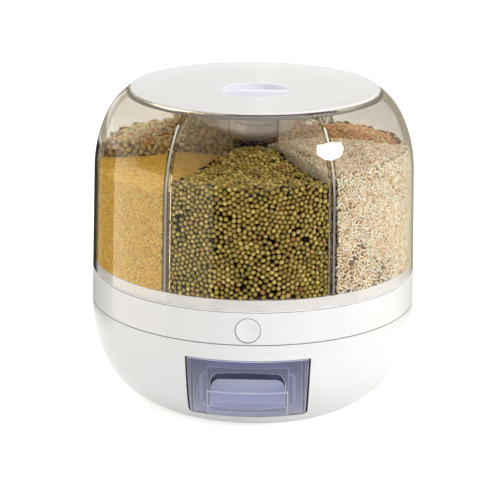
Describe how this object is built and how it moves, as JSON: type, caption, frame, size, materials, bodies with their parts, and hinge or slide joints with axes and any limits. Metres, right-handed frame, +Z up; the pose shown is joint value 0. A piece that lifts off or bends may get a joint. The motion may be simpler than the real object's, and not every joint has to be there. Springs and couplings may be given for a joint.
{
  "type": "rotating food dispenser",
  "caption": "Round countertop grain dispenser: clear turning drum of wedge cells on a white base, push-button shutter, smoked measuring tray and lift-off lid with drying cup.",
  "frame": {"origin": "middle of the plane of the feet", "axes": "+Z up along the drum's axis, -Y towards the push button and the tray's pull, +X to the viewer's right"},
  "size_m": [0.3014, 0.3014, 0.2886],
  "materials": {
    "white_gloss": "smooth moulded",
    "white_satin": "satin moulded",
    "clear_plastic": "clear polished",
    "smoked_plastic": "smoked clear",
    "grey_rubber": "matte",
    "silicone": "translucent matte",
    "steel": "bright",
    "drying_pack": "matte"
  },
  "bodies": {
    "base": {"base_shell": "white_gloss", "upper_base": "white_gloss", "rubber_feet": "grey_rubber", "base_screws": "steel", "tray_guide": "white_satin", "gate_guide": "white_satin", "guide_screws": "steel", "detent_spring": "steel", "pivot_washer": "steel", "pivot_screw": "steel", "return_spring": "steel"},
    "drum": {"turntable": "white_satin", "barrel": "clear_plastic", "hub_column": "clear_plastic", "divider_1": "clear_plastic", "divider_2": "clear_plastic", "divider_3": "clear_plastic", "divider_4": "clear_plastic", "divider_5": "clear_plastic", "divider_6": "clear_plastic"},
    "ball_ring": {"ball_cage": "white_satin", "bearing_balls": "steel"},
    "shutter": {"button_cap": "white_gloss", "push_yoke": "white_satin", "gate_plate": "white_satin"},
    "tray": {"measuring_tray": "smoked_plastic"},
    "lid": {"lid_shell": "white_gloss", "lid_seal": "silicone", "grip_insert": "white_gloss", "desiccant_bowl": "clear_plastic"},
    "desiccant": {"desiccant_cup": "clear_plastic", "desiccant_pack": "drying_pack"}
  },
  "joints": [
    {"name": "drum_spin", "type": "hinge", "parent": "base", "child": "drum", "pos_m": [0, 0, 0.1227], "axis": [0, 0, 1], "continuous": true, "deforming": ["detent_spring"]},
    {"name": "cage_spin", "type": "hinge", "parent": "base", "child": "ball_ring", "pos_m": [0, 0, 0.1227], "axis": [0, 0, 1], "continuous": true},
    {"name": "button_press", "type": "slide", "parent": "base", "child": "shutter", "axis": [0, 1, 0], "range_m": [0, 0.012], "stiffness_N_per_m": 300, "springref_m": -0.004, "deforming": ["return_spring"]},
    {"name": "tray_slide", "type": "slide", "parent": "base", "child": "tray", "axis": [0, -1, 0], "range_m": [0, 0.135]},
    {"name": "lid_lift", "type": "slide", "parent": "drum", "child": "lid", "axis": [0, 0, 1], "range_m": [0, 0.06]},
    {"name": "desiccant_twist", "type": "hinge", "parent": "lid", "child": "desiccant", "pos_m": [0, 0, 0.25], "axis": [0, 0, 1], "range_deg": [0, 60]}
  ],
  "couplings": [
    {"joint": "cage_spin", "follows": "drum_spin", "ratio": 0.5}
  ]
}
